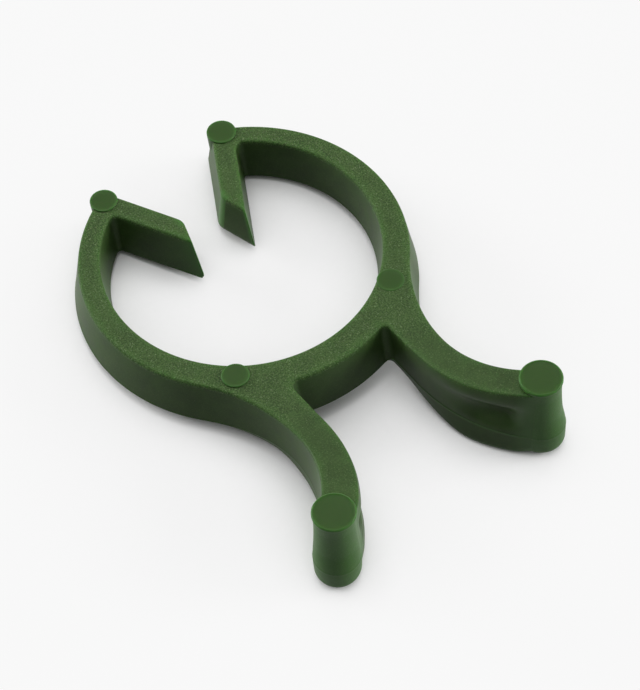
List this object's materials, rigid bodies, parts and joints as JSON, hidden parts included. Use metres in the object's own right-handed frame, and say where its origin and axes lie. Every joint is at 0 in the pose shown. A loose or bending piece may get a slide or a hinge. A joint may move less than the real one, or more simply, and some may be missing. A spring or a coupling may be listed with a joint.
{
  "type": "orchid clip",
  "caption": "Plant clip moulded as an open ring with inward lips and a pair of squeeze handles that open its mouth round a stem and its stake.",
  "frame": {"origin": "centre of the ring's bore, on the ring's flat underside", "axes": "+Z along the ring's axis, towards the face with the ejector marks; +Y from the handles towards the mouth; +X towards the right handle"},
  "size_m": [0.0242, 0.0352, 0.0072],
  "materials": {
    "green_plastic": "dark green moulded plastic, finely grained top face, satin sides"
  },
  "bodies": {
    "bridge": {"bridge": "green_plastic"},
    "left_lever": {"left_lever": "green_plastic"},
    "right_lever": {"right_lever": "green_plastic"},
    "left_jaw": {"left_jaw": "green_plastic"},
    "right_jaw": {"right_jaw": "green_plastic"}
  },
  "joints": [
    {"name": "left_squeeze", "type": "hinge", "parent": "bridge", "child": "left_lever", "pos_m": [-0.0021, -0.01079, 0], "axis": [0, 0, 1], "range_deg": [0, 12], "stiffness_Nm_per_rad": 0.8},
    {"name": "right_squeeze", "type": "hinge", "parent": "bridge", "child": "right_lever", "pos_m": [0.0021, -0.01079, 0], "axis": [0, 0, -1], "range_deg": [0, 12], "stiffness_Nm_per_rad": 0.8},
    {"name": "left_jaw_flex", "type": "hinge", "parent": "left_lever", "child": "left_jaw", "pos_m": [-0.01023, -0.00372, 0], "axis": [0, 0, 1], "range_deg": [0, 8], "stiffness_Nm_per_rad": 0.3},
    {"name": "right_jaw_flex", "type": "hinge", "parent": "right_lever", "child": "right_jaw", "pos_m": [0.01023, -0.00372, 0], "axis": [0, 0, -1], "range_deg": [0, 8], "stiffness_Nm_per_rad": 0.3}
  ],
  "couplings": [
    {"joint": "right_squeeze", "follows": "left_squeeze", "ratio": 1},
    {"joint": "right_jaw_flex", "follows": "left_jaw_flex", "ratio": 1}
  ]
}
